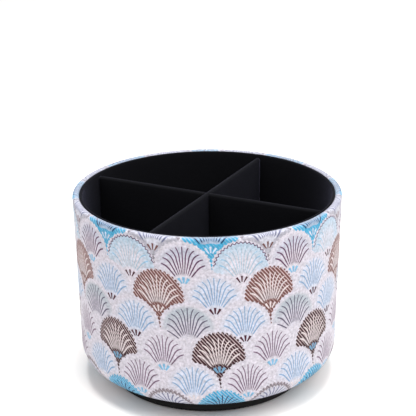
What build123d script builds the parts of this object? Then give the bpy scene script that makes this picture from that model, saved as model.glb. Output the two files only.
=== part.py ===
from build123d import *
from math import radians, sqrt, tan
import os

# Rotating pen holder: a leatherette-covered cup, velvet inside and split in four, on a ball turntable.
# Millimetres, +Z up. The origin is on the desk, on the axis the cup turns about.
# The two dividers lie along X and Y.

# Overall form
RIM_DIAMETER = 165.0
TOTAL_HEIGHT = 120.0
DRAFT_ANGLE = 1.15
BOTTOM_ROUND = 13.0

# Sheet thicknesses of the cup, from the outside in
WRAP = 1.0
SHELL_WALL = 2.0
LINING_CARD = 0.8
VELVET = 0.7
GLUE = 0.1

# Rim, hems and floor of the cup
TURN_IN = 12.0
RIM_ROUND = 1.5
LINING_DROP = 0.4
HEM_RADIUS = 48.0
HEM_GAP = 0.3
SHELL_FLOOR = 2.2
BOSS_HEIGHT = 7.5
FLOOR_CARD = 1.6
FLOOR_FIT = 0.2
FLOOR_RING_INSET = 3.5
FLOOR_RING_WALL = 2.0

# Dividers
DIVIDER_CARD = 1.6
DIVIDER_DROP = 2.4
DIVIDER_FIT = 0.2
SLOT_FIT = 0.1

# Turntable
BASE_DIAMETER = 124.5
BASE_HEIGHT = 5.8
BASE_WEB = 2.2
BASE_WALL = 3.0
BASE_EDGE_ROUND = 0.6
BASE_RIB = 1.6
BASE_RIB_COUNT = 12
RUN_GAP = 0.8
PLATE_DIAMETER = 112.0
PLATE_THICKNESS = 3.0
PLATE_EDGE_ROUND = 0.8

# Ball race
RACE_RADIUS = 41.0
RACE_FLOOR = 2.2
BALL_DIAMETER = 4.0
BALL_COUNT = 24
BALL_FIT = 0.1
POCKET_FIT = 0.15
CAGE_WIDTH = 8.0
CAGE_THICKNESS = 1.6
CAGE_FIT = 0.3

# Pivot screw on the axis
SHOULDER_DIAMETER = 6.0
PIVOT_FIT = 0.05
PIVOT_THREAD = 4.0
PIVOT_THREAD_LENGTH = 11.5
PIVOT_HEAD = 10.0
PIVOT_HEAD_HEIGHT = 2.0
PIVOT_DRIVE = 3.0
WASHER_DIAMETER = 12.0
WASHER_THICKNESS = 0.6
BUSH_WALL = 1.2
BUSH_FLANGE = 0.6
INSERT_WALL = 1.2
INSERT_LENGTH = 7.0
INSERT_GROOVE = 0.5
SEAT_FIT = 0.03
HUB_WEB = 2.0
HUB_DIAMETER = 20.0
HUB_GAP = 0.5
CENTRE_BOSS = 12.0

# Plate screws
PLATE_SCREW_COUNT = 4
PLATE_SCREW_CIRCLE = 26.0
PLATE_SCREW = 3.0
PLATE_SCREW_HEAD = 5.6
PLATE_SCREW_LENGTH = 10.0
PLATE_SCREW_DRIVE = 1.8
SCREW_FIT = 0.1
THREAD_FIT = 0.05
SCREW_BOSS = 8.0

# Foot pads
PAD_COUNT = 4
PAD_DIAMETER = 10.0
PAD_PROUD = 0.5
PAD_SINK = 1.0
PAD_FIT = 0.1
PAD_SEAT_WALL = 1.6
PAD_EDGE_ROUND = 0.4

# Heights that follow from the stack, from the desk up
base_low = PAD_PROUD
base_top = base_low + BASE_HEIGHT
plate_low = base_top + RUN_GAP
cup_low = plate_low + PLATE_THICKNESS
shell_low = cup_low + WRAP + GLUE
shell_floor = shell_low + SHELL_FLOOR
ledge = shell_floor + BOSS_HEIGHT
floor_card_top = ledge + FLOOR_CARD
floor_top = floor_card_top + VELVET
shell_top = TOTAL_HEIGHT - WRAP - GLUE
lining_top = TOTAL_HEIGHT - LINING_DROP
divider_top = TOTAL_HEIGHT - DIVIDER_DROP
divider_middle = (floor_top + divider_top) / 2
race_middle = (base_top + plate_low) / 2
hub_seat = base_top - HUB_WEB
washer_top = hub_seat - BUSH_FLANGE - PIVOT_FIT
washer_low = washer_top - WASHER_THICKNESS
head_top = washer_low - PIVOT_FIT
head_low = head_top - PIVOT_HEAD_HEIGHT

# Depths of the layers below the outer face of the cup
shell_out = WRAP + GLUE
shell_in = shell_out + SHELL_WALL
hem_out = shell_in + GLUE
hem_in = hem_out + WRAP
card_out = hem_in + GLUE
card_in = card_out + LINING_CARD
velvet_out = card_in + GLUE
velvet_in = velvet_out + VELVET

# Radii and widths that follow
base_radius = BASE_DIAMETER / 2
pivot_bore = SHOULDER_DIAMETER / 2 + PIVOT_FIT
bush_radius = pivot_bore + BUSH_WALL
insert_bore = PIVOT_THREAD / 2 + THREAD_FIT
insert_radius = insert_bore + INSERT_WALL
race_groove = BALL_DIAMETER / 2 + BALL_FIT
channel_half = CAGE_WIDTH / 2 + CAGE_FIT
channel_depth = CAGE_THICKNESS / 2 + CAGE_FIT - RUN_GAP / 2
race_half = channel_half + RACE_FLOOR
pad_seat = PAD_DIAMETER / 2 + PAD_FIT + PAD_SEAT_WALL
pad_circle = base_radius - BASE_EDGE_ROUND - pad_seat
inner_round = BOTTOM_ROUND - shell_in
divider_width = DIVIDER_CARD + 2 * (VELVET + GLUE)
divider_round = 0.45 * divider_width
slot_width = divider_width + 2 * SLOT_FIT


# Half sections are drawn with the radius along X and the height along Y, and placed on XZ when used
def side_radius(z, depth):
    """Radius of the drafted side at a height, a given depth below the outer face."""
    return RIM_DIAMETER / 2 - (TOTAL_HEIGHT - z) * tan(radians(DRAFT_ANGLE)) - depth


def drafted_band(outer_depth, inner_depth, low, high):
    """Half section of a drafted ring between two depths and two heights."""
    with BuildSketch() as band:
        with BuildLine():
            Polyline(
                (side_radius(low, inner_depth), low),
                (side_radius(low, outer_depth), low),
                (side_radius(high, outer_depth), high),
                (side_radius(high, inner_depth), high),
                close=True,
            )
        make_face()
    return band.sketch


def drafted_block(depth, low, high, corner):
    """Half section of a solid drafted cup, its lower corner rounded or left sharp at 0."""
    with BuildSketch() as block:
        with BuildLine():
            Polyline(
                (0, low),
                (side_radius(low, depth), low),
                (side_radius(high, depth), high),
                (0, high),
                close=True,
            )
        make_face()
        if corner:
            fillet(block.vertices().group_by(Axis.Y)[0].sort_by(Axis.X)[-1], corner)
    return block.sketch


def ring_section(inner, outer, low, high):
    """Half section of a plain ring or disc."""
    with BuildSketch() as ring:
        with Locations(((inner + outer) / 2, (low + high) / 2)):
            Rectangle(outer - inner, high - low)
    return ring.sketch


def race_section(face, depth_sign):
    """Half section of the cage channel and ball groove cut into a face of the turntable."""
    with BuildSketch() as race:
        with Locations((RACE_RADIUS, face - depth_sign * channel_depth / 2)):
            Rectangle(2 * channel_half, channel_depth)
        with Locations((RACE_RADIUS, race_middle)):
            Circle(race_groove)
    return race.sketch


def divider_slab(face, width, top, edge):
    """A board standing on the floor in a plane, its ends trimmed to the round wall."""
    with BuildPart() as slab:
        with BuildSketch(face):
            with Locations((0, (floor_top + top) / 2)):
                Rectangle(RIM_DIAMETER, top - floor_top)
        extrude(amount=width / 2, both=True)
        if edge:
            top_edges = slab.edges().group_by(Axis.Z)[-1]
            fillet(top_edges.group_by(SortBy.LENGTH)[-1], edge)
        with BuildSketch(Plane.XZ):
            add(drafted_block(velvet_in + DIVIDER_FIT, floor_top, TOTAL_HEIGHT, 0))
        revolve(axis=Axis.Z, mode=Mode.INTERSECT)
    return slab.part


# Ring that carries the floor board, set in from the rounded corner
floor_ring = side_radius(shell_floor, shell_in) - inner_round - FLOOR_RING_INSET

# Turntable foot, hollow and ribbed beneath
with BuildPart() as base_foot:
    with BuildSketch(Plane.XZ) as foot_section:
        add(ring_section(0, base_radius, base_top - BASE_WEB, base_top))
        add(ring_section(base_radius - BASE_WALL, base_radius, base_low, base_top))
        add(ring_section(0, HUB_DIAMETER / 2, base_low, base_top))
        add(
            ring_section(
                RACE_RADIUS - race_half,
                RACE_RADIUS + race_half,
                race_middle - race_groove - RACE_FLOOR,
                base_top,
            )
        )
        fillet(foot_section.vertices().group_by(Axis.X)[-1], BASE_EDGE_ROUND)
        add(race_section(base_top, 1), mode=Mode.SUBTRACT)
    revolve(axis=Axis.Z)
    with BuildSketch(Plane.XY.offset(base_top - BASE_WEB)):
        with PolarLocations((base_radius - BASE_WALL / 2) / 2, BASE_RIB_COUNT):
            Rectangle(base_radius - BASE_WALL / 2, BASE_RIB)
    extrude(amount=-(base_top - BASE_WEB - base_low - PAD_SINK))
    with BuildSketch(Plane.XY.offset(base_low)):
        with PolarLocations(pad_circle, PAD_COUNT, start_angle=45):
            Circle(pad_seat)
    extrude(amount=base_top - BASE_WEB - base_low)
    with BuildSketch(Plane.XY.offset(base_low)):
        with PolarLocations(pad_circle, PAD_COUNT, start_angle=45):
            Circle(PAD_DIAMETER / 2 + PAD_FIT)
    extrude(amount=PAD_SINK, mode=Mode.SUBTRACT)
    with Locations(Location((0, 0, base_low), (180, 0, 0))):
        CounterBoreHole(
            radius=bush_radius + SEAT_FIT,
            counter_bore_radius=WASHER_DIAMETER / 2 + HUB_GAP,
            counter_bore_depth=hub_seat - base_low,
        )
base_foot.part.label = "base_foot"

# Rubber pads, sunk into seats under the foot
with BuildPart() as foot_pads:
    with PolarLocations(pad_circle, PAD_COUNT, start_angle=45):
        Cylinder(PAD_DIAMETER / 2, PAD_PROUD + PAD_SINK, align=(Align.CENTER, Align.CENTER, Align.MIN))
    fillet(foot_pads.edges().group_by(Axis.Z)[0], PAD_EDGE_ROUND)
foot_pads.part.label = "foot_pads"

# Flanged bush in the hub, and the washer under it
with BuildPart() as pivot_bush:
    with BuildSketch(Plane.XZ):
        add(ring_section(pivot_bore, bush_radius, hub_seat - BUSH_FLANGE, base_top))
        add(ring_section(pivot_bore, WASHER_DIAMETER / 2, hub_seat - BUSH_FLANGE, hub_seat))
    revolve(axis=Axis.Z)
pivot_bush.part.label = "pivot_bush"

with BuildPart(Plane.XY.offset(washer_low)) as pivot_washer:
    Cylinder(WASHER_DIAMETER / 2, WASHER_THICKNESS, align=(Align.CENTER, Align.CENTER, Align.MIN))
    Hole(pivot_bore)
pivot_washer.part.label = "pivot_washer"

# Ball cage, a flat ring with round pockets
with BuildPart(Plane.XY.offset(race_middle)) as ball_cage:
    with BuildSketch(Plane.XY.offset(race_middle)):
        Circle(RACE_RADIUS + CAGE_WIDTH / 2)
        Circle(RACE_RADIUS - CAGE_WIDTH / 2, mode=Mode.SUBTRACT)
        with PolarLocations(RACE_RADIUS, BALL_COUNT):
            Circle(BALL_DIAMETER / 2 + POCKET_FIT, mode=Mode.SUBTRACT)
    extrude(amount=CAGE_THICKNESS / 2, both=True)
ball_cage.part.label = "ball_cage"

# Steel balls
with BuildPart(Plane.XY.offset(race_middle)) as bearing_balls:
    with PolarLocations(RACE_RADIUS, BALL_COUNT):
        Sphere(BALL_DIAMETER / 2)
bearing_balls.part.label = "bearing_balls"

# Top plate of the turntable, screwed under the cup
with BuildPart() as top_plate:
    with BuildSketch(Plane.XZ) as plate_section:
        add(ring_section(0, PLATE_DIAMETER / 2, plate_low, cup_low))
        fillet(plate_section.vertices().group_by(Axis.X)[-1].sort_by(Axis.Y)[0], PLATE_EDGE_ROUND)
        add(race_section(plate_low, -1), mode=Mode.SUBTRACT)
    revolve(axis=Axis.Z)
    with Locations(Location((0, 0, plate_low), (180, 0, 0))):
        Hole(PIVOT_THREAD / 2 + SCREW_FIT)
        with PolarLocations(PLATE_SCREW_CIRCLE, PLATE_SCREW_COUNT, start_angle=45):
            CounterSinkHole(
                radius=PLATE_SCREW / 2 + SCREW_FIT,
                counter_sink_radius=PLATE_SCREW_HEAD / 2 + SCREW_FIT,
                counter_sink_angle=90,
            )
top_plate.part.label = "top_plate"

# Countersunk screws that hold the plate
with BuildPart(Plane.XY.offset(plate_low)) as plate_screws:
    with PolarLocations(PLATE_SCREW_CIRCLE, PLATE_SCREW_COUNT, start_angle=45):
        Cylinder(PLATE_SCREW / 2, PLATE_SCREW_LENGTH, align=(Align.CENTER, Align.CENTER, Align.MIN))
        Cone(
            PLATE_SCREW_HEAD / 2,
            PLATE_SCREW / 2,
            (PLATE_SCREW_HEAD - PLATE_SCREW) / 2,
            align=(Align.CENTER, Align.CENTER, Align.MIN),
        )
    with BuildSketch(Plane.XY.offset(plate_low)):
        with PolarLocations(PLATE_SCREW_CIRCLE, PLATE_SCREW_COUNT, start_angle=45):
            RegularPolygon(PLATE_SCREW_DRIVE / 2, 6)
    extrude(amount=PLATE_SCREW_DRIVE / 2, mode=Mode.SUBTRACT)
plate_screws.part.label = "plate_screws"

# Shoulder screw the cup turns on
with BuildPart() as pivot_screw:
    with BuildSketch(Plane.XZ) as pivot_section:
        add(ring_section(0, PIVOT_HEAD / 2, head_low, head_top))
        fillet(pivot_section.vertices().group_by(Axis.X)[-1].sort_by(Axis.Y)[0], PIVOT_HEAD_HEIGHT / 4)
        add(ring_section(0, SHOULDER_DIAMETER / 2, head_top, plate_low))
        add(ring_section(0, PIVOT_THREAD / 2, plate_low, plate_low + PIVOT_THREAD_LENGTH))
        chamfer(pivot_section.vertices().group_by(Axis.Y)[-1].sort_by(Axis.X)[-1], PIVOT_THREAD / 8)
    revolve(axis=Axis.Z)
    with BuildSketch(Plane.XY.offset(head_low)):
        RegularPolygon(PIVOT_DRIVE / 2, 6)
    extrude(amount=PIVOT_HEAD_HEIGHT * 0.7, mode=Mode.SUBTRACT)
pivot_screw.part.label = "pivot_screw"

# Moulded cup with a spigot beneath and bosses that carry the floor board
with BuildPart() as cup_shell:
    with BuildSketch(Plane.XZ) as shell_section:
        add(drafted_block(shell_out, shell_low, shell_top, BOTTOM_ROUND - shell_out))
        add(drafted_block(shell_in, shell_floor, shell_top, inner_round), mode=Mode.SUBTRACT)
        fillet(shell_section.vertices().group_by(Axis.Y)[-1], min(RIM_ROUND - WRAP, SHELL_WALL / 3))
        add(ring_section(0, HEM_RADIUS - HEM_GAP, cup_low, shell_floor))
        add(
            ring_section(
                floor_ring - FLOOR_RING_WALL / 2,
                floor_ring + FLOOR_RING_WALL / 2,
                shell_floor - SHELL_FLOOR / 2,
                ledge,
            )
        )
    revolve(axis=Axis.Z)
    with BuildSketch(Plane.XY.offset(shell_floor - SHELL_FLOOR / 2)):
        Circle(CENTRE_BOSS / 2)
        with PolarLocations(PLATE_SCREW_CIRCLE, PLATE_SCREW_COUNT, start_angle=45):
            Circle(SCREW_BOSS / 2)
        with PolarLocations(floor_ring / 2, PLATE_SCREW_COUNT, start_angle=45):
            Rectangle(floor_ring, FLOOR_RING_WALL)
    extrude(amount=ledge - shell_floor + SHELL_FLOOR / 2)
    with Locations(Location((0, 0, cup_low), (180, 0, 0))):
        CounterBoreHole(
            radius=insert_bore,
            counter_bore_radius=insert_radius + SEAT_FIT,
            counter_bore_depth=INSERT_LENGTH,
        )
        with PolarLocations(PLATE_SCREW_CIRCLE, PLATE_SCREW_COUNT, start_angle=45):
            Hole(PLATE_SCREW / 2 + THREAD_FIT)
cup_shell.part.label = "cup_shell"

# Threaded insert in the middle boss, grooved round its waist
with BuildPart() as boss_insert:
    with BuildSketch(Plane.XZ):
        add(ring_section(insert_bore, insert_radius, cup_low, cup_low + INSERT_LENGTH))
        add(
            ring_section(
                insert_radius - INSERT_GROOVE,
                insert_radius,
                cup_low + 0.4 * INSERT_LENGTH,
                cup_low + 0.6 * INSERT_LENGTH,
            ),
            mode=Mode.SUBTRACT,
        )
    revolve(axis=Axis.Z)
boss_insert.part.label = "boss_insert"

# Leatherette cover, turned in over the rim and hemmed under the bottom
with BuildPart() as outer_wrap:
    with BuildSketch(Plane.XZ) as wrap_section:
        add(drafted_block(0, cup_low, TOTAL_HEIGHT, BOTTOM_ROUND))
        add(drafted_block(hem_in, TOTAL_HEIGHT - TURN_IN, TOTAL_HEIGHT, 0), mode=Mode.SUBTRACT)
        fillet(wrap_section.vertices().group_by(Axis.Y)[-1], min(RIM_ROUND, 0.45 * hem_in))
        add(
            drafted_block(WRAP, cup_low + WRAP, TOTAL_HEIGHT - TURN_IN, BOTTOM_ROUND - WRAP),
            mode=Mode.SUBTRACT,
        )
        add(
            drafted_band(WRAP, hem_out, TOTAL_HEIGHT - TURN_IN, TOTAL_HEIGHT - WRAP),
            mode=Mode.SUBTRACT,
        )
        add(ring_section(0, HEM_RADIUS, cup_low, shell_floor), mode=Mode.SUBTRACT)
    revolve(axis=Axis.Z)
outer_wrap.part.label = "outer_wrap"

# Card sleeve inside the wall
with BuildPart() as lining_card:
    with BuildSketch(Plane.XZ):
        add(drafted_band(card_out, card_in, floor_top, lining_top - VELVET - GLUE))
    revolve(axis=Axis.Z)
lining_card.part.label = "lining_card"

# Velvet on the sleeve, turned over its top edge
with BuildPart() as lining_velvet:
    with BuildSketch(Plane.XZ) as velvet_section:
        add(drafted_band(card_out, velvet_in, floor_top, lining_top))
        fillet(velvet_section.vertices().group_by(Axis.Y)[-1], VELVET / 2)
        add(drafted_band(card_out, velvet_out, floor_top, lining_top - VELVET), mode=Mode.SUBTRACT)
    revolve(axis=Axis.Z)
lining_velvet.part.label = "lining_velvet"

# Floor board and its velvet
floor_radius = (
    side_radius(ledge, shell_in)
    - inner_round
    + sqrt(inner_round**2 - max(inner_round - BOSS_HEIGHT, 0) ** 2)
    - FLOOR_FIT
)
with BuildPart(Plane.XY.offset(ledge)) as floor_card:
    Cylinder(floor_radius, FLOOR_CARD, align=(Align.CENTER, Align.CENTER, Align.MIN))
floor_card.part.label = "floor_card"

with BuildPart(Plane.XY.offset(floor_card_top)) as floor_velvet:
    Cylinder(floor_radius, VELVET, align=(Align.CENTER, Align.CENTER, Align.MIN))
floor_velvet.part.label = "floor_velvet"

# Divider along Y, its top edge unbroken, slotted from below
with BuildPart() as through_divider_board:
    add(divider_slab(Plane.YZ, DIVIDER_CARD, divider_top - VELVET - GLUE, 0))
    with BuildSketch(Plane.YZ):
        with Locations((0, (floor_top + divider_middle) / 2)):
            Rectangle(slot_width, divider_middle - floor_top + SLOT_FIT)
    extrude(amount=divider_width, both=True, mode=Mode.SUBTRACT)
through_divider_board.part.label = "through_divider_board"

with BuildPart() as through_divider_velvet:
    add(divider_slab(Plane.YZ, divider_width, divider_top, divider_round))
    add(divider_slab(Plane.YZ, DIVIDER_CARD + 2 * GLUE, divider_top - VELVET, 0), mode=Mode.SUBTRACT)
    with BuildSketch(Plane.YZ):
        with Locations((0, (floor_top + divider_middle) / 2)):
            Rectangle(slot_width, divider_middle - floor_top + SLOT_FIT)
    extrude(amount=divider_width, both=True, mode=Mode.SUBTRACT)
through_divider_velvet.part.label = "through_divider_velvet"

# Divider along X, slotted from above
with BuildPart() as notched_divider_board:
    add(divider_slab(Plane.XZ, DIVIDER_CARD, divider_top - VELVET - GLUE, 0))
    with BuildSketch(Plane.XZ):
        with Locations((0, (divider_top + divider_middle) / 2)):
            Rectangle(slot_width, divider_top - divider_middle + SLOT_FIT)
    extrude(amount=divider_width, both=True, mode=Mode.SUBTRACT)
notched_divider_board.part.label = "notched_divider_board"

with BuildPart() as notched_divider_velvet:
    add(divider_slab(Plane.XZ, divider_width, divider_top, divider_round))
    add(divider_slab(Plane.XZ, DIVIDER_CARD + 2 * GLUE, divider_top - VELVET, 0), mode=Mode.SUBTRACT)
    with BuildSketch(Plane.XZ):
        with Locations((0, (divider_top + divider_middle) / 2)):
            Rectangle(slot_width, divider_top - divider_middle + SLOT_FIT)
    extrude(amount=divider_width, both=True, mode=Mode.SUBTRACT)
notched_divider_velvet.part.label = "notched_divider_velvet"

# One STEP file for each piece
os.makedirs("parts", exist_ok=True)
export_step(base_foot.part, "parts/base_foot.step")
export_step(foot_pads.part, "parts/foot_pads.step")
export_step(pivot_bush.part, "parts/pivot_bush.step")
export_step(pivot_washer.part, "parts/pivot_washer.step")
export_step(ball_cage.part, "parts/ball_cage.step")
export_step(bearing_balls.part, "parts/bearing_balls.step")
export_step(top_plate.part, "parts/top_plate.step")
export_step(plate_screws.part, "parts/plate_screws.step")
export_step(pivot_screw.part, "parts/pivot_screw.step")
export_step(cup_shell.part, "parts/cup_shell.step")
export_step(boss_insert.part, "parts/boss_insert.step")
export_step(outer_wrap.part, "parts/outer_wrap.step")
export_step(lining_card.part, "parts/lining_card.step")
export_step(lining_velvet.part, "parts/lining_velvet.step")
export_step(floor_card.part, "parts/floor_card.step")
export_step(floor_velvet.part, "parts/floor_velvet.step")
export_step(through_divider_board.part, "parts/through_divider_board.step")
export_step(through_divider_velvet.part, "parts/through_divider_velvet.step")
export_step(notched_divider_board.part, "parts/notched_divider_board.step")
export_step(notched_divider_velvet.part, "parts/notched_divider_velvet.step")
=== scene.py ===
from math import atan2, cos, pi, radians, sin, tan

import bmesh
import bpy
from mathutils import Matrix, Vector


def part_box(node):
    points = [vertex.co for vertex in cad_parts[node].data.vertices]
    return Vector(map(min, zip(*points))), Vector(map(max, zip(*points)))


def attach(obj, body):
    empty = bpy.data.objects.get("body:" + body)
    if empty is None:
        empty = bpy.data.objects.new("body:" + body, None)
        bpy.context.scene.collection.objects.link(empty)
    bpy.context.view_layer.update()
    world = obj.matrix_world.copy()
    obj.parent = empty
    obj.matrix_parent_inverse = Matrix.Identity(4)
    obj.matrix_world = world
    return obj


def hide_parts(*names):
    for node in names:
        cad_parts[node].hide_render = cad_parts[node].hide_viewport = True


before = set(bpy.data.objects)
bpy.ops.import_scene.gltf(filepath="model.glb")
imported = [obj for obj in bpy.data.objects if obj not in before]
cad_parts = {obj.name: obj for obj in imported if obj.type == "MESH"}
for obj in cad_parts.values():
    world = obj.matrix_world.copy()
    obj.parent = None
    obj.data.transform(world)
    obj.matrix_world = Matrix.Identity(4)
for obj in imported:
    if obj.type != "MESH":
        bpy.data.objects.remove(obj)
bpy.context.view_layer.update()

MM = 0.001

# Points that are closer than these count as one, or as lying on a plane
TOUCHING = 1e-6
EXACT = 1e-7

# Camera, from the outline of the cup in the photograph
CAMERA_AZIMUTH = radians(26.4)
CAMERA_ELEVATION = radians(20.35)
CAMERA_DISTANCE = 766.8 * MM
CAMERA_AIM_HEIGHT = 107.7 * MM
CAMERA_AIM_RIGHT = 0.43 * MM
CAMERA_ROLL = radians(-0.51)
CAMERA_LENS = 107.5
CAMERA_SENSOR = 36.0

# Cup: heights from the frame, the other sizes as in the CAD
cover_low, cover_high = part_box("outer_wrap")
CUP_TOP = cover_high.z
CUP_LOW = cover_low.z
RIM_RADIUS = 82.5 * MM
DRAFT = tan(radians(1.15))
LOWER_ROUND = 13.0 * MM
COVER_SHEET = 1.0 * MM
RIM_WIDTH = 4.2 * MM
RIM_ROUND = 1.6 * MM
TURN_IN = 12.0 * MM
HEM_RADIUS = 48.0 * MM
TURN_STEPS = 192

# Seam of the cover, at its back, which lies more than this many turns from the front
SEAM_WIDTH = 0.9 * MM
SEAM_DEPTH = 0.35 * MM
BACK = 0.45

# Velvet inside
velvet_low, velvet_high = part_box("lining_velvet")
VELVET = 0.7 * MM
VELVET_DEPTH = 5.9 * MM
CARD_DEPTH = 4.3 * MM
DIVIDER_WIDTH = 3.2 * MM
DIVIDER_ROUND = 1.44 * MM
DIVIDER_FIT = 0.2 * MM
DIVIDER_STEPS = 66
SLOT_WIDTH = 3.4 * MM

# Turntable
BALL_COUNT = 24

# Fan print, in millimetres on the cover: the half-drop repeat
ROUND_RIM = 2 * pi * RIM_RADIUS / MM
FAN_PITCH = 33.2
FAN_RADIUS = FAN_PITCH / 2
FAN_ROW = 18.78
FIRST_FAN_ACROSS = -14.65
FIRST_FAN_DOWN = 2.15
FAN_LEAN = 0.035
ROW_SHIFT = 0.53
ROW_MARGIN = 0.1
KINDS_IN_ROW = 2

# Ribs: steps are angles from the root, a curl bends the tips outward
FAN_ROOT = 27.0
RIB_STEP = 0.095
RIB_SPREAD = 0.047
RIB_SHARE = 0.22
RIB_TIP = 2.7
RIB_TIP_ASIDE = 1.5
RIB_CURL = 0.62
CURL_DEPTH = 9.0
CURL_RUN = 6.2
CURL_ASIDE = 1.15

# Tuft of petals above the root, the arch round it and the paler heart of the fan
PETAL_ANGLE = 0.56
PETAL_START = 1.9
PETAL_END = 5.8
PETAL_RISE = 0.4
PETAL_FOOT = 0.25
PETAL_FLARE = 0.14
PETALS_ASIDE = 1.5
ARCH_RADIUS = 7.3
ARCH_RISE = 1.0
ARCH_HALF_WIDTH = 0.4
HEART_REACH = 17.0
BORDERED_HEART_MORE = 3.0
SOLID_HEART_LESS = 8.0

# Edges: a border wider than these is solid, toothed, or there at all
SOLID_BORDER = 2.5
TOOTHED_BORDER = 1.0
ANY_BORDER = 0.1
EDGE_START = 0.1
TOOTH_PITCH = 2.6
TOOTH = 1.5
ZIGZAG = 1.1
ZIGZAG_END = 14.5
LOWER_TOOTH = 0.6
LOWER_BORDER = 0.45
GROW_FALL = 1.4
TAIL_START = 28.0
TINT_DEPTH = 2.6

# Bluer ribs towards the sides of the lace fan, over less of its heart
BLUER_ASIDE = 9.0
BLUER_HEART = 0.2

# Hatch of light bars: direction of a step, and where in a step the bar starts
HATCH_PITCH = 1.65
HATCH_ACROSS = 0.777
HATCH_DOWN = 0.629
HATCH_BAR = 0.34
HATCH_IN_HEART = 0.1
HATCH_IN_TUFT = 0.45

# The rim's zone of painted shade, and how dark the whole print is
RIM_SHADE_ZONE = -0.4
RIM_SHADE_SHARE = 0.6
PRINT_SHADE = 0.72
PRINT_SPECKLE = 0.75


def linear(red, green, blue):
    """A screen colour in 0 to 255 as the linear colour that a shader takes."""
    levels = [level / 255 for level in (red, green, blue)]
    return tuple(
        level / 12.92 if level <= 0.04045 else ((level + 0.055) / 1.055) ** 2.4
        for level in levels
    )


GROUND = linear(205, 202, 213)
PALE_GROUND = linear(218, 213, 222)
# Painted shade laid over the print on the rim's top and turn-in
RIM_PAINTED_SHADE = linear(176, 177, 189)
MAROON = linear(88, 38, 80)
PLUM = linear(72, 20, 40)
MAUVE = linear(106, 72, 100)
BLUE = linear(124, 160, 197)
SKY = linear(126, 182, 216)
TURQUOISE = linear(62, 166, 206)
TEAL = linear(112, 158, 190)
NAVY = linear(30, 56, 96)
BROWN = linear(113, 71, 67)
DARK_BROWN = linear(52, 12, 24)
SLATE = linear(84, 75, 100)
STONE = linear(130, 122, 130)
CREAM = linear(225, 215, 216)
BAR = linear(232, 213, 214)
TEAL_TINT = linear(180, 188, 197)
BLUE_TINT = linear(203, 214, 231)
LACE = linear(166, 194, 212)
LACE_TINT = linear(180, 204, 222)
LILAC_TINT = linear(212, 208, 219)
PALE_LILAC = linear(222, 216, 224)
BEIGE_TINT = linear(136, 123, 127)
STEEL_TINT = linear(204, 206, 218)
DUSK = linear(168, 182, 204)
HAZE = linear(114, 116, 148)


class Fan:
    """One kind of fan: inks, and sizes in mm. Its edge lies grow outside the even repeat."""

    def __init__(
        self, ribs, petals, field, field_share, heart, rib_width=0.58, petal_width=0.6,
        border=GROUND, border_width=0.0, grow=-0.5, rib_count=11, rib_start=7.4, hatch=0.0,
    ):
        self.ribs, self.rib_width = ribs, rib_width
        self.rib_count, self.rib_start = rib_count, rib_start
        self.petals, self.petal_width = petals, petal_width
        self.field, self.field_share = field, field_share
        self.heart = heart
        self.border, self.border_width = border, border_width
        self.grow = grow
        self.hatch = hatch


SOLID = dict(rib_width=0.66, border_width=3.0, grow=1.2)
MAROON_FAN = Fan(
    ribs=MAROON, rib_width=0.66, petals=SKY, petal_width=0.85,
    field=DUSK, field_share=0.45, heart=PALE_LILAC,
)
LACE_FAN = Fan(
    ribs=LACE, rib_width=0.5, petals=PLUM, field=LACE_TINT, field_share=0.9, heart=PALE_GROUND,
    border=MAROON, border_width=0.8, grow=0.0,
)
BLUE_FAN = Fan(
    ribs=BLUE, petals=PLUM, petal_width=0.75, field=BLUE_TINT, field_share=0.6, heart=BLUE_TINT,
)
BROWN_FAN = Fan(
    ribs=CREAM, petals=CREAM, field=BROWN, field_share=1.0, heart=BEIGE_TINT,
    border=BROWN, hatch=0.66, **SOLID,
)
SLATE_FAN = Fan(
    ribs=SLATE, rib_width=0.6, rib_count=13, petals=PALE_GROUND,
    field=TEAL_TINT, field_share=1.9, heart=GROUND,
)
DARK_FAN = Fan(
    ribs=CREAM, petals=TEAL, petal_width=0.9, field=DARK_BROWN, field_share=1.0, heart=BEIGE_TINT,
    border=DARK_BROWN, hatch=0.68, **SOLID,
)
MAUVE_FAN = Fan(
    ribs=MAUVE, petals=SKY, petal_width=0.85, field=LILAC_TINT, field_share=0.5, heart=LILAC_TINT,
)
PALE_BLUE_FAN = Fan(
    ribs=BLUE, petals=CREAM, field=BLUE_TINT, field_share=0.6, heart=BLUE_TINT,
)
TURQUOISE_FAN = Fan(
    ribs=NAVY, rib_start=9.5, petals=BLUE_TINT, field=TURQUOISE, field_share=1.0, heart=DUSK,
    border=TURQUOISE, hatch=0.46, **SOLID,
)
STONE_FAN = Fan(
    ribs=HAZE, rib_width=0.8, rib_start=9.0, petals=BROWN,
    field=STEEL_TINT, field_share=1.0, heart=STEEL_TINT,
    border=STONE, border_width=2.4, grow=0.6, hatch=0.3,
)

# Two kinds take turns along each row, from the rim down
FAN_ROWS = [
    (MAROON_FAN, LACE_FAN),
    (BLUE_FAN, BROWN_FAN),
    (SLATE_FAN, BLUE_FAN),
    (DARK_FAN, MAUVE_FAN),
    (PALE_BLUE_FAN, MAUVE_FAN),
    (TURQUOISE_FAN, STONE_FAN),
]
FAN_KINDS = [fan for row in FAN_ROWS for fan in row]

# Spans that take in each size of all the kinds, and the start of the span for growth
SHARE_SPAN = 2.0
BORDER_SPAN = 5.0
RIB_SPAN = 20.0
GROW_SPAN = 4.0
LEAST_GROW = -2.0


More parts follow.
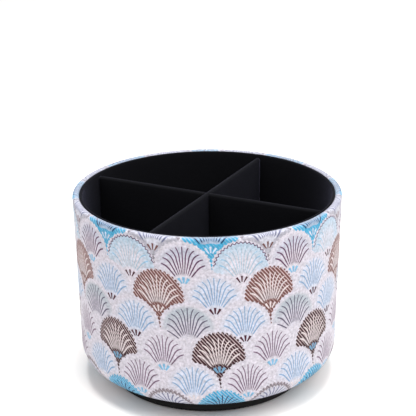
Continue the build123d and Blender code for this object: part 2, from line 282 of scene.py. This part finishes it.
class Field:
    """A number that varies over a surface, worked out by Math nodes in a material."""

    def __init__(self, tree, socket):
        self.tree = tree
        self.socket = socket

    def math(self, operation, *others, clamp=False):
        node = self.tree.nodes.new("ShaderNodeMath")
        node.operation = operation
        node.use_clamp = clamp
        for socket, value in zip(node.inputs, (self, *others)):
            if isinstance(value, Field):
                self.tree.links.new(value.socket, socket)
            else:
                socket.default_value = value
        return Field(self.tree, node.outputs[0])

    def __add__(self, other):
        return self.math("ADD", other)

    def __sub__(self, other):
        return self.math("SUBTRACT", other)

    def __mul__(self, other):
        return self.math("MULTIPLY", other)

    def __truediv__(self, other):
        return self.math("DIVIDE", other)

    def __pow__(self, other):
        return self.math("POWER", other)

    def from_number(self, number):
        return self.math("MULTIPLY_ADD", -1.0, number)

    def size(self):
        return self.math("ABSOLUTE")

    def floor(self):
        return self.math("FLOOR")

    def fraction(self):
        return self.math("FRACT")

    def root(self):
        return self.math("SQRT")

    def turns(self, count):
        """What is left over after whole turns of a count."""
        return self.math("FLOORED_MODULO", count)

    def lesser(self, other):
        return self.math("MINIMUM", other)

    def greater(self, other):
        return self.math("MAXIMUM", other)

    def beyond(self, edge):
        """1 where the field is above an edge, 0 elsewhere."""
        return self.math("GREATER_THAN", edge)

    def over(self, edge, soft):
        """1 where the field is above an edge, 0 below it, with a soft step."""
        return ((self - edge) / soft).math("ADD", 0.5, clamp=True)

    def under(self, edge, soft):
        return self.over(edge, soft).from_number(1.0)

    def leaves(self, share):
        """1 where the field is 0 and a share where it is 1."""
        return self * (share - 1.0) + 1.0

    def towards(self, other, share):
        """This field where the share is 0, another where it is 1."""
        return self + (other - self) * share

    def off_whole(self):
        """Distance to the nearest whole number."""
        return ((self + 0.5).fraction() - 0.5).size()

    def off_half(self):
        """Distance to the middle between whole numbers."""
        return (self.fraction() - 0.5).size()

    def angle_off(self, rise):
        """Angle off upright of a point this far aside and that far up."""
        return self.math("ARCTAN2", rise.greater(0.001))


def apart(aside, along):
    """Length of a line from its two legs."""
    return (aside ** 2.0 + along ** 2.0).root()


def blend(tree, first, second, share):
    """Mixes two colours, or colour sockets, by a field."""
    node = tree.nodes.new("ShaderNodeMix")
    node.data_type = "RGBA"
    tree.links.new(share.socket, node.inputs["Factor"])
    colour_inputs = [socket for socket in node.inputs if socket.type == "RGBA"]
    for socket, colour in zip(colour_inputs, (first, second)):
        if isinstance(colour, tuple):
            socket.default_value = (*colour, 1.0)
        else:
            tree.links.new(colour, socket)
    return next(socket for socket in node.outputs if socket.type == "RGBA")


def kind_ramp(tree, kind, ink, size, span=1.0, least=0.0):
    """One ink and one size of a fan, by its kind. The ramp's alpha holds the size as a share of a
    span above the least."""
    ramp = tree.nodes.new("ShaderNodeValToRGB")
    ramp.color_ramp.interpolation = "CONSTANT"
    stops = ramp.color_ramp.elements
    while len(stops) < len(FAN_KINDS):
        stops.new(1.0)
    for n, fan in enumerate(FAN_KINDS):
        stops[n].position = n / len(FAN_KINDS)
        stops[n].color = (*getattr(fan, ink), (getattr(fan, size) - least) / span)
    share = (kind + 0.5) / len(FAN_KINDS)
    tree.links.new(share.socket, ramp.inputs["Fac"])
    return ramp.outputs["Color"], Field(tree, ramp.outputs["Alpha"]) * span + least


def new_material(name):
    material = bpy.data.materials.new(name)
    material.use_nodes = True
    tree = material.node_tree
    return material, tree, tree.nodes["Principled BSDF"]


def noise_on(tree, place, scale, detail, roughness, stretch):
    """Noise over a place on the piece, as a field."""
    mapping = tree.nodes.new("ShaderNodeMapping")
    mapping.inputs["Scale"].default_value = stretch
    noise = tree.nodes.new("ShaderNodeTexNoise")
    noise.inputs["Scale"].default_value = scale
    noise.inputs["Detail"].default_value = detail
    noise.inputs["Roughness"].default_value = roughness
    tree.links.new(place, mapping.inputs["Vector"])
    tree.links.new(mapping.outputs["Vector"], noise.inputs["Vector"])
    return Field(tree, noise.outputs["Fac"])


def object_noise(tree, scale, detail, stretch=(1, 1, 1)):
    """Noise in the piece's own coordinates, as a field."""
    place = tree.nodes.new("ShaderNodeTexCoord").outputs["Object"]
    return noise_on(tree, place, scale, detail, roughness=0.55, stretch=stretch)


def colour_between(tree, shader, first, second, share):
    tree.links.new(blend(tree, first, second, share), shader.inputs["Base Color"])


def roughen(tree, shader, field, low, high):
    """Roughness that follows a field between two values."""
    tree.links.new((field * (high - low) + low).socket, shader.inputs["Roughness"])


def raise_surface(tree, shader, height, strength, distance):
    """Bump from a field of height."""
    bump = tree.nodes.new("ShaderNodeBump")
    bump.inputs["Strength"].default_value = strength
    bump.inputs["Distance"].default_value = distance
    tree.links.new(height.socket, bump.inputs["Height"])
    tree.links.new(bump.outputs["Normal"], shader.inputs["Normal"])


def find_fan(tree, along, below):
    """The kind of the fan at a point, and the point's place across it and down from its top."""
    # The row whose arcs start just above the point, and the row before it
    height = (below - FIRST_FAN_DOWN) / FAN_ROW + ROW_MARGIN
    near_row = height.floor()
    near_down = (height - near_row - ROW_MARGIN) * FAN_ROW

    def place_in_row(row):
        start = (along - row.turns(2.0) * FAN_RADIUS - row * ROW_SHIFT) / FAN_PITCH + 0.5
        column = start.floor()
        kind = row.turns(len(FAN_ROWS)) * KINDS_IN_ROW + column.turns(KINDS_IN_ROW)
        return kind, (start - column - 0.5) * FAN_PITCH

    near_kind, near_across = place_in_row(near_row)
    far_kind, far_across = place_in_row(near_row - 1.0)
    _, near_grow = kind_ramp(tree, near_kind, "heart", "grow", GROW_SPAN, LEAST_GROW)
    near_rise = (near_down - FAN_RADIUS).lesser(0.0)
    in_arc = (near_grow + FAN_RADIUS - apart(near_across, near_rise)).beyond(0.0)
    is_near = in_arc.greater(near_down.beyond(FAN_RADIUS))
    kind = far_kind.towards(near_kind, is_near)
    across = far_across.towards(near_across, is_near)
    return kind, across, near_down + is_near.from_number(1.0) * FAN_ROW


def fan_edge(across, down, grow):
    """How far in a point lies from the fan's own arc and from its whole edge, how far along the
    edge it lies, and 1 where the edge is made by the row below."""
    aside = across.size()
    from_arc = apart(across, (down - FAN_RADIUS).lesser(0.0)).from_number(FAN_RADIUS)
    grow_here = ((aside / FAN_RADIUS) ** 2.0 * GROW_FALL).from_number(1.0)
    from_top = from_arc + grow * grow_here
    # Arcs of the row below
    inward = aside.from_number(FAN_RADIUS)
    fall = down.from_number(FAN_ROW + FAN_RADIUS)
    from_below = apart(inward, fall) - FAN_RADIUS
    is_lower = (from_top - from_below).beyond(0.0)
    run = aside.angle_off(down.from_number(FAN_RADIUS)) * FAN_RADIUS
    run = run + (down - FAN_RADIUS).greater(0.0)
    run = run.towards(inward.angle_off(fall) * FAN_RADIUS, is_lower)
    return from_arc, from_top.lesser(from_below), run, is_lower


def rib_lines(across, rise, reach, from_arc, rib_width, rib_count, rib_start):
    """Ribs that leave one root and curl apart at their tips."""
    slant = across.size() / reach
    near_tip = (from_arc.from_number(CURL_DEPTH) / CURL_RUN).greater(0.0)
    curl = near_tip * near_tip * (slant * CURL_ASIDE).from_number(1.0).greater(0.0)
    rib_step = (slant * RIB_SPREAD + RIB_STEP) * (curl * RIB_CURL + 1.0)
    order = across / reach / rib_step
    spacing = reach * reach * rib_step / rise.greater(1.0)
    half_width = (rib_width * 0.5).lesser(spacing * RIB_SHARE)
    rib = (order.off_whole() * spacing).under(half_width, soft=0.3)
    rib = rib * order.size().under(rib_count * 0.5, soft=0.05) * reach.over(rib_start, soft=1.2)
    return rib * (from_arc - slant * RIB_TIP_ASIDE).over(RIB_TIP, soft=0.5)


def petal_tuft(across, rise, reach, petal_width):
    """Tuft of three petals under the ribs."""
    petal = across.angle_off(rise) / PETAL_ANGLE
    off_petal = petal.off_whole() * PETAL_ANGLE * reach
    tuft = off_petal.under(petal_width * (reach * PETAL_FLARE + PETAL_FOOT), soft=0.25)
    tuft = tuft * petal.size().under(PETALS_ASIDE, soft=0.05) * rise.over(PETAL_RISE, soft=0.3)
    return tuft * reach.over(PETAL_START, soft=0.4) * reach.under(PETAL_END, soft=0.4)


def fan_print(tree):
    """Colour of the print, from the cover's own UV map: turns of the cup and mm below the rim."""
    layout = tree.nodes.new("ShaderNodeUVMap")
    layout.uv_map = "print"
    parts = tree.nodes.new("ShaderNodeSeparateXYZ")
    tree.links.new(layout.outputs["UV"], parts.inputs["Vector"])
    below = Field(tree, parts.outputs["Y"])
    along = Field(tree, parts.outputs["X"]) * ROUND_RIM - below * FAN_LEAN - FIRST_FAN_ACROSS

    kind, across, down = find_fan(tree, along, below)
    field_colour, field_share = kind_ramp(tree, kind, "field", "field_share", SHARE_SPAN)
    border_colour, border_width = kind_ramp(tree, kind, "border", "border_width", BORDER_SPAN)
    heart_colour, grow = kind_ramp(tree, kind, "heart", "grow", GROW_SPAN, LEAST_GROW)
    rib_colour, rib_width = kind_ramp(tree, kind, "ribs", "rib_width")
    petal_colour, petal_width = kind_ramp(tree, kind, "petals", "petal_width")
    _, rib_count = kind_ramp(tree, kind, "ribs", "rib_count", RIB_SPAN)
    _, rib_start = kind_ramp(tree, kind, "ribs", "rib_start", RIB_SPAN)
    _, hatching = kind_ramp(tree, kind, "ribs", "hatch")
    is_solid = border_width.beyond(SOLID_BORDER)
    is_toothed = border_width.beyond(TOOTHED_BORDER)
    has_border = border_width.beyond(ANY_BORDER)

    # Round teeth along the edge, or a thin zigzag
    from_arc, edge, run, is_lower = fan_edge(across, down, grow)
    tooth = (run / TOOTH_PITCH).off_whole() * 2.0
    notch = tooth * ((tooth * TOOTH - ZIGZAG) * is_toothed + ZIGZAG)
    inset = edge - notch * is_lower.leaves(LOWER_TOOTH) * has_border
    shown = inset.over(EDGE_START, soft=0.25)

    aside = across.size()
    rise = down.from_number(FAN_ROOT)
    reach = apart(across, rise).greater(0.01)
    past_arch = reach.over(ARCH_RADIUS, soft=0.5)
    rib = rib_lines(across, rise, reach, from_arc, rib_width, rib_count, rib_start)
    tuft = petal_tuft(across, rise, reach, petal_width)

    # On the solid fans an arch round the tuft, then the heart, bluer sides and the hatch
    arch = (reach - ARCH_RADIUS).size().under(ARCH_HALF_WIDTH, soft=0.3)
    arch = arch * rise.over(ARCH_RISE, soft=0.5) * is_solid
    heart = reach + is_solid * SOLID_HEART_LESS - has_border * BORDERED_HEART_MORE
    heart = heart.under(HEART_REACH, soft=8.0) * past_arch.greater(is_solid.from_number(1.0))
    bluer = (has_border - is_toothed) * aside.over(BLUER_ASIDE, soft=6.0)
    heart = heart * bluer.leaves(BLUER_HEART)
    hatch = (across * HATCH_ACROSS - down * HATCH_DOWN) / HATCH_PITCH
    hatch = hatch.off_half().over(HATCH_BAR, soft=0.08) * hatching
    hatch = hatch * heart.from_number(1.0).greater(HATCH_IN_HEART)
    hatch = hatch * past_arch.greater(HATCH_IN_TUFT)

    # The border ends early where it is a zigzag and is fainter below where it isn't solid
    border = shown * inset.under(border_width, soft=0.4) * has_border
    border = border * is_toothed.greater(down.under(ZIGZAG_END, soft=0.5))
    border = border * ((is_toothed - is_solid) * is_lower).leaves(LOWER_BORDER)
    bead = (down / TOOTH_PITCH).off_half().from_number(0.5) * 2.0
    tail = aside.under(bead, soft=0.25) * down.over(TAIL_START, soft=0.4) * is_toothed

    # Ground, field, border, tail, arch, hatch, ribs and petals, one over the other
    mottle = noise_on(
        tree, layout.outputs["UV"], scale=0.8, detail=2.0, roughness=0.5, stretch=(ROUND_RIM, 1, 1),
    )
    colour = blend(tree, GROUND, PALE_GROUND, mottle.over(0.5, soft=0.3))
    body = blend(tree, field_colour, heart_colour, heart)
    tinted = edge.over(TINT_DEPTH, soft=4.0).towards(shown, has_border)
    colour = blend(tree, colour, body, (tinted * field_share).lesser(1.0))
    for line in (border, tail, arch):
        colour = blend(tree, colour, border_colour, line)
    colour = blend(tree, colour, BAR, hatch * shown)
    colour = blend(tree, colour, blend(tree, rib_colour, SKY, bluer), rib)
    colour = blend(tree, colour, petal_colour, tuft)
    # Painted shade over the rim and its turn-in: the print is dulled there against the strong light
    # from above
    return blend(tree, colour, RIM_PAINTED_SHADE, below.under(RIM_SHADE_ZONE, soft=1.6) * RIM_SHADE_SHARE)


def make_leatherette():
    material, tree, shader = new_material("printed_leatherette")
    colour = fan_print(tree)
    grain = object_noise(tree, scale=1500.0, detail=3.0)
    speck = object_noise(tree, scale=700.0, detail=2.0)
    shade = tree.nodes.new("ShaderNodeHueSaturation")
    value = (speck - 0.5) * PRINT_SPECKLE + PRINT_SHADE
    tree.links.new(value.socket, shade.inputs["Value"])
    tree.links.new(colour, shade.inputs["Color"])
    tree.links.new(shade.outputs["Color"], shader.inputs["Base Color"])
    roughen(tree, shader, grain, low=0.42, high=0.62)
    shader.inputs["Specular IOR Level"].default_value = 0.16
    raise_surface(tree, shader, grain, strength=0.25, distance=0.15 * MM)
    return material


def make_velvet():
    material, tree, shader = new_material("black_velvet")
    pile = object_noise(tree, scale=2200.0, detail=2.0)
    brushed = object_noise(tree, scale=55.0, detail=3.0)
    deep, lifted = (0.0012, 0.0013, 0.0018), (0.0042, 0.0043, 0.0058)
    colour_between(tree, shader, deep, lifted, pile * 0.5 + brushed * 0.5)
    shader.inputs["Roughness"].default_value = 0.95
    shader.inputs["Specular IOR Level"].default_value = 0.1
    shader.inputs["Sheen Weight"].default_value = 0.09
    shader.inputs["Sheen Roughness"].default_value = 0.35
    shader.inputs["Sheen Tint"].default_value = (0.48, 0.49, 0.76, 1.0)
    raise_surface(tree, shader, pile, strength=0.5, distance=0.3 * MM)
    return material


def make_moulded(name, colour, roughness, fleck=0.25):
    """Moulded plastic with a fine spark-eroded texture."""
    material, tree, shader = new_material(name)
    texture = object_noise(tree, scale=1800.0, detail=2.0)
    cloud = object_noise(tree, scale=40.0, detail=3.0)
    lighter = tuple(c * (1 + fleck) for c in colour)
    darker = tuple(c * (1 - fleck) for c in colour)
    colour_between(tree, shader, darker, lighter, cloud)
    roughen(tree, shader, texture, low=roughness - 0.08, high=roughness + 0.08)
    shader.inputs["Specular IOR Level"].default_value = 0.2
    raise_surface(tree, shader, texture, strength=0.12, distance=0.1 * MM)
    return material


def make_metal(name, colour, roughness, brushed=(1, 1, 1)):
    """Metal with turning marks or a plain polish."""
    material, tree, shader = new_material(name)
    marks = object_noise(tree, scale=900.0, detail=2.0, stretch=brushed)
    darker = tuple(c * 0.8 for c in colour)
    colour_between(tree, shader, darker, colour, marks)
    roughen(tree, shader, marks, low=roughness - 0.07, high=roughness + 0.08)
    shader.inputs["Metallic"].default_value = 1.0
    raise_surface(tree, shader, marks, strength=0.08, distance=0.05 * MM)
    return material


def make_board():
    """Grey board with short paper fibres."""
    material, tree, shader = new_material("grey_board")
    fibre = object_noise(tree, scale=600.0, detail=5.0, stretch=(1, 1, 0.3))
    darker, lighter = (0.22, 0.20, 0.18), (0.42, 0.40, 0.36)
    colour_between(tree, shader, darker, lighter, fibre)
    shader.inputs["Roughness"].default_value = 0.9
    raise_surface(tree, shader, fibre, strength=0.3, distance=0.1 * MM)
    return material


def make_rubber():
    material, tree, shader = new_material("pad_rubber")
    bloom = object_noise(tree, scale=300.0, detail=4.0)
    black, bloomed = (0.012, 0.012, 0.012), (0.035, 0.034, 0.033)
    colour_between(tree, shader, black, bloomed, bloom)
    roughen(tree, shader, bloom, low=0.7, high=0.9)
    skin = object_noise(tree, scale=2500.0, detail=2.0)
    raise_surface(tree, shader, skin, strength=0.2, distance=0.1 * MM)
    return material


leatherette = make_leatherette()
velvet = make_velvet()
cup_plastic = make_moulded("cup_plastic", (0.05, 0.05, 0.055), roughness=0.6)
turntable_plastic = make_moulded("turntable_plastic", (0.005, 0.0047, 0.0047), roughness=0.5)
nylon = make_moulded("natural_nylon", (0.72, 0.7, 0.64), roughness=0.5, fleck=0.06)
zinc_steel = make_metal("zinc_steel", (0.62, 0.62, 0.64), roughness=0.35, brushed=(1, 1, 6))
ball_steel = make_metal("ball_steel", (0.72, 0.72, 0.74), roughness=0.12)
brass = make_metal("insert_brass", (0.75, 0.52, 0.22), roughness=0.3, brushed=(1, 1, 8))
board = make_board()
rubber = make_rubber()


def finish_piece(bm, name, material, body, node):
    """Turns a bmesh into a piece that stands for a CAD node."""
    mesh = bpy.data.meshes.new(name)
    bm.to_mesh(mesh)
    bm.free()
    for face in mesh.polygons:
        face.use_smooth = True
    piece = bpy.data.objects.new(name, mesh)
    bpy.context.scene.collection.objects.link(piece)
    mesh.materials.append(material)
    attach(piece, body)
    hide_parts(node)
    return piece


def give_thickness(piece, thickness):
    """Makes a skin into a sheet, away from the side that shows."""
    sheet = piece.modifiers.new("thickness", "SOLIDIFY")
    sheet.thickness = thickness
    sheet.offset = -1.0


def side_radius(z, depth=0.0):
    """Radius of the drafted side at a height, a depth below the cover's face."""
    return RIM_RADIUS - (CUP_TOP - z) * DRAFT - depth


def join_points(bm, points):
    """A line of edges through points."""
    verts = [bm.verts.new(point) for point in points]
    for a, b in zip(verts, verts[1:]):
        bm.edges.new((a, b))
    return verts


def draw_line(bm, points):
    """A line in the plane of the cup's axis and its back, through points by radius and height."""
    back = Vector((-sin(CAMERA_AZIMUTH), cos(CAMERA_AZIMUTH), 0))
    return join_points(bm, [back * r + Vector((0, 0, z)) for r, z in points])


def round_corners(bm, verts, radius, segments):
    bmesh.ops.bevel(
        bm, geom=verts, offset=radius, offset_type="OFFSET", affect="VERTICES",
        segments=segments, profile=0.5, material=-1,
    )


def cut_long_edges(bm, longer_than, cuts):
    """Divides the long straights of a line."""
    long_edges = [edge for edge in bm.edges if edge.calc_length() > longer_than]
    bmesh.ops.subdivide_edges(bm, edges=long_edges, cuts=cuts)


def turn_round(bm):
    """Spins all that is drawn once round the cup's axis."""
    bmesh.ops.spin(
        bm, geom=bm.verts[:] + bm.edges[:], cent=(0, 0, 0), axis=(0, 0, 1), angle=2 * pi,
        steps=TURN_STEPS, use_merge=True,
    )
    bmesh.ops.remove_doubles(bm, verts=bm.verts, dist=TOUCHING)
    bmesh.ops.recalc_face_normals(bm, faces=bm.faces)


def cut_through(bm, place, direction, clear_outer=False):
    """Cuts all faces along a plane, and may take away what lies beyond it."""
    bmesh.ops.bisect_plane(
        bm, geom=bm.verts[:] + bm.edges[:] + bm.faces[:], dist=EXACT,
        plane_co=place, plane_no=direction, clear_outer=clear_outer,
    )


def face_towards(bm, place, direction):
    """Turns all faces over if the one nearest to a place points away from a direction."""
    nearest = min(bm.faces, key=lambda face: (face.calc_center_median() - place).length)
    if nearest.normal.dot(direction) < 0:
        bmesh.ops.reverse_faces(bm, faces=bm.faces)


def follow_profile(bm, layer):
    """Writes each point's run along the cover's line; gives the rim's end and the whole run."""
    ends = [vert for vert in bm.verts if len(vert.link_edges) == 1]
    vert = max(ends, key=lambda end: end.co.z)
    run, rim_end, previous = 0.0, 0.0, None
    while vert:
        vert[layer] = run
        if vert.co.z > CUP_TOP - EXACT:
            rim_end = run
        neighbours = [edge.other_vert(vert) for edge in vert.link_edges]
        onward = [neighbour for neighbour in neighbours if neighbour is not previous]
        previous, vert = vert, onward[0] if onward else None
        if vert:
            run += (vert.co - previous.co).length
    return rim_end, run


def turn_of(point):
    """Place round the cup in turns, 0 at the front and half a turn at the seam behind."""
    return ((atan2(point.y, point.x) - CAMERA_AZIMUTH + pi / 2) / (2 * pi) + 0.5) % 1.0 - 0.5


def press_seam(bm):
    """Groove of the cover's seam behind."""
    along = Vector((cos(CAMERA_AZIMUTH), sin(CAMERA_AZIMUTH), 0))
    for side in (-1, 1):
        behind = [face for face in bm.faces if abs(turn_of(face.calc_center_median())) > BACK]
        edges = {edge for face in behind for edge in face.edges}
        verts = {vert for face in behind for vert in face.verts}
        bmesh.ops.bisect_plane(
            bm, geom=behind + list(edges) + list(verts), dist=EXACT,
            plane_co=along * side * SEAM_WIDTH / 2, plane_no=along,
        )
    for vert in bm.verts:
        if abs(vert.co.dot(along)) < TOUCHING and abs(turn_of(vert.co)) > BACK:
            vert.co -= vert.normal * SEAM_DEPTH


def cover_piece():
    """Leatherette cover: one skin turned in at rim and bottom, butted at a seam behind."""
    bm = bmesh.new()
    run = bm.verts.layers.float.new("run")
    line = draw_line(bm, [
        (side_radius(CUP_TOP - TURN_IN, RIM_WIDTH), CUP_TOP - TURN_IN),
        (RIM_RADIUS - RIM_WIDTH, CUP_TOP),
        (RIM_RADIUS, CUP_TOP),
        (side_radius(CUP_LOW), CUP_LOW),
        (HEM_RADIUS, CUP_LOW),
    ])
    round_corners(bm, line[3:4], LOWER_ROUND, segments=12)
    rim_corners = [vert for vert in bm.verts if vert.co.z > CUP_TOP - EXACT]
    round_corners(bm, rim_corners, RIM_ROUND, segments=6)
    cut_long_edges(bm, longer_than=4 * RIM_WIDTH, cuts=16)
    rim_end, length = follow_profile(bm, run)
    # On the straight side the print's layout counts the depth below the rim's top
    rim_edge = rim_end + RIM_ROUND * (pi / 2 - 1)
    turn_round(bm)
    press_seam(bm)

    layout = bm.loops.layers.uv.new("print")
    for face in bm.faces:
        middle = turn_of(face.calc_center_median())
        for loop in face.loops:
            step = turn_of(loop.vert.co) - middle
            loop[layout].uv = (middle + step - round(step), (loop.vert[run] - rim_edge) / MM)
    piece = finish_piece(bm, "leatherette_cover", leatherette, "cup", "outer_wrap")
    give_thickness(piece, COVER_SHEET)


def wall_velvet_piece():
    """Velvet of the wall, turned over the top of its card."""
    bm = bmesh.new()
    low, high = velvet_low.z, velvet_high.z
    line = draw_line(bm, [
        (side_radius(low, VELVET_DEPTH), low),
        (side_radius(high, VELVET_DEPTH), high),
        (side_radius(high, CARD_DEPTH), high),
    ])
    round_corners(bm, line[1:2], VELVET, segments=4)
    cut_long_edges(bm, longer_than=20 * VELVET, cuts=20)
    turn_round(bm)
    middle = Vector((side_radius(high / 2, VELVET_DEPTH), 0, high / 2))
    face_towards(bm, middle, Vector((-1, 0, 0)))
    piece = finish_piece(bm, "wall_velvet", velvet, "cup", "lining_velvet")
    give_thickness(piece, VELVET)


def floor_velvet_piece():
    """Round of velvet on the floor board."""
    _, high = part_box("floor_velvet")
    radius = high.x
    bm = bmesh.new()
    draw_line(bm, [(0, high.z), (radius, high.z)])
    cut_long_edges(bm, longer_than=0.0, cuts=15)
    turn_round(bm)
    face_towards(bm, high, Vector((0, 0, 1)))
    piece = finish_piece(bm, "floor_velvet_round", velvet, "cup", "floor_velvet")
    give_thickness(piece, VELVET)


def divider_velvet_piece(name, node, turn, slot_above):
    """Velvet folded over a divider board, with the slot where the other divider passes."""
    low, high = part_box(node)
    half, length = DIVIDER_WIDTH / 2, RIM_RADIUS
    bm = bmesh.new()
    points = [(-half, low.z), (-half, high.z), (half, high.z), (half, low.z)]
    line = join_points(bm, [(-length, y, z) for y, z in points])
    round_corners(bm, line[1:3], DIVIDER_ROUND, segments=5)
    cut_long_edges(bm, longer_than=10 * DIVIDER_WIDTH, cuts=18)
    bmesh.ops.spin(
        bm, geom=bm.verts[:] + bm.edges[:], cent=(0, 0, 0), axis=(0, 0, 1), angle=0.0,
        dvec=(2 * length / DIVIDER_STEPS, 0, 0), steps=DIVIDER_STEPS, use_merge=False,
    )

    # Ends that follow the drafted wall, then the slot
    end = side_radius(low.z, VELVET_DEPTH) - DIVIDER_FIT
    for side in (-1, 1):
        cut_through(bm, (side * end, 0, low.z), (side, 0, -DRAFT), clear_outer=True)
    middle = (low.z + high.z) / 2
    for side in (-1, 1):
        cut_through(bm, (side * SLOT_WIDTH / 2, 0, 0), (1, 0, 0))
    cut_through(bm, (0, 0, middle), (0, 0, 1))
    up = 1 if slot_above else -1
    centres = {face: face.calc_center_median() for face in bm.faces}
    slot = [
        face for face, centre in centres.items()
        if abs(centre.x) < SLOT_WIDTH / 2 and up * (centre.z - middle) > 0
    ]
    bmesh.ops.delete(bm, geom=slot, context="FACES")

    # Flaps of velvet over the board's cut ends in the slot
    flap_centre = (middle + (high.z if slot_above else low.z)) / 2
    for side in (-1, 1):
        rim = [
            vert for vert in bm.verts
            if abs(vert.co.x - side * SLOT_WIDTH / 2) < TOUCHING
            and up * (vert.co.z - middle) > -TOUCHING
        ]
        bm.faces.new(sorted(rim, key=lambda vert: atan2(vert.co.z - flap_centre, vert.co.y)))
    bmesh.ops.recalc_face_normals(bm, faces=bm.faces)
    face_towards(bm, Vector((end / 2, half, middle)), Vector((0, 1, 0)))
    bmesh.ops.rotate(bm, verts=bm.verts, cent=(0, 0, 0), matrix=Matrix.Rotation(turn, 3, "Z"))
    piece = finish_piece(bm, name, velvet, "cup", node)
    cut = (2 * (end + (high.z - low.z) * DRAFT), 2 * (high.z - low.z) + DIVIDER_WIDTH)
    give_thickness(piece, VELVET)


def ball_piece():
    """Balls of the bearing on their ring."""
    low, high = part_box("bearing_balls")
    radius = (high.z - low.z) / 2
    place = Matrix.Translation((high.x - radius, 0, (low.z + high.z) / 2))
    bm = bmesh.new()
    for n in range(BALL_COUNT):
        turn = Matrix.Rotation(2 * pi * n / BALL_COUNT, 4, "Z")
        bmesh.ops.create_icosphere(bm, subdivisions=3, radius=radius, matrix=turn @ place)
    finish_piece(bm, "bearing_ball_set", ball_steel, "ball_ring", "bearing_balls")


ball_piece()
cover_piece()
wall_velvet_piece()
floor_velvet_piece()
divider_velvet_piece("through_divider_cover", "through_divider_velvet", pi / 2, slot_above=False)
divider_velvet_piece("notched_divider_cover", "notched_divider_velvet", 0.0, slot_above=True)

CAD_FINISHES = {
    "base_foot": turntable_plastic,
    "top_plate": turntable_plastic,
    "foot_pads": rubber,
    "pivot_bush": nylon,
    "ball_cage": nylon,
    "pivot_washer": zinc_steel,
    "pivot_screw": zinc_steel,
    "plate_screws": zinc_steel,
    "boss_insert": brass,
    "cup_shell": cup_plastic,
    "lining_card": board,
    "floor_card": board,
    "through_divider_board": board,
    "notched_divider_board": board,
}
for node, material in CAD_FINISHES.items():
    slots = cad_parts[node].data.materials
    slots.clear()
    slots.append(material)


def make_floor():
    material, tree, shader = new_material("pale_floor")
    cloud = object_noise(tree, scale=3.0, detail=2.0)
    darker, lighter = (0.885, 0.86, 0.83), (0.925, 0.90, 0.87)
    colour_between(tree, shader, darker, lighter, cloud)
    shader.inputs["Roughness"].default_value = 0.9
    shader.inputs["Specular IOR Level"].default_value = 0.1
    bm = bmesh.new()
    bmesh.ops.create_grid(bm, x_segments=1, y_segments=1, size=6.0)
    mesh = bpy.data.meshes.new("floor")
    bm.to_mesh(mesh)
    bm.free()
    floor = bpy.data.objects.new("floor", mesh)
    mesh.materials.append(material)
    bpy.context.scene.collection.objects.link(floor)


def direction_to(azimuth, elevation):
    """Direction from the cup to a place round it, by angles; azimuth 0 is on the -Y side."""
    return Vector((
        sin(azimuth) * cos(elevation), -cos(azimuth) * cos(elevation), sin(elevation),
    ))


def add_softbox(name, azimuth, elevation, distance, size, power):
    """A square studio light that faces the cup. Azimuth is counted from the camera's side."""
    back = direction_to(CAMERA_AZIMUTH + radians(azimuth), radians(elevation))
    lamp = bpy.data.lights.new(name, "AREA")
    lamp.shape = "SQUARE"
    lamp.size = size
    lamp.energy = power
    light = bpy.data.objects.new(name, lamp)
    light.location = Vector((0, 0, CUP_TOP / 2)) + back * distance
    light.rotation_euler = back.to_track_quat("Z", "Y").to_euler()
    bpy.context.scene.collection.objects.link(light)


def add_camera():
    right = Vector((cos(CAMERA_AZIMUTH), sin(CAMERA_AZIMUTH), 0))
    back = direction_to(CAMERA_AZIMUTH, CAMERA_ELEVATION)
    aim = right * CAMERA_AIM_RIGHT + Vector((0, 0, CAMERA_AIM_HEIGHT))
    upright = Matrix((right, back.cross(right), back)).transposed()
    turn = upright @ Matrix.Rotation(CAMERA_ROLL, 3, "Z")
    data = bpy.data.cameras.new("camera")
    data.lens = CAMERA_LENS
    data.sensor_width = CAMERA_SENSOR
    camera = bpy.data.objects.new("camera", data)
    camera.matrix_world = Matrix.Translation(aim + back * CAMERA_DISTANCE) @ turn.to_4x4()
    bpy.context.scene.collection.objects.link(camera)
    bpy.context.scene.camera = camera


def light_room():
    """Even light from all round, and plain screen colours."""
    world = bpy.data.worlds.new("studio")
    world.use_nodes = True
    background = world.node_tree.nodes["Background"]
    background.inputs["Color"].default_value = (0.99, 0.98, 1.02, 1.0)
    background.inputs["Strength"].default_value = 0.6
    bpy.context.scene.world = world
    bpy.context.scene.view_settings.view_transform = "Standard"


make_floor()
add_softbox("key_light", azimuth=60, elevation=48, distance=1.6, size=1.2, power=17.0)
add_softbox("fill_light", azimuth=-50, elevation=45, distance=1.8, size=1.2, power=8.0)
add_softbox("top_light", azimuth=0, elevation=88, distance=1.6, size=0.7, power=28.0)
add_camera()
light_room()
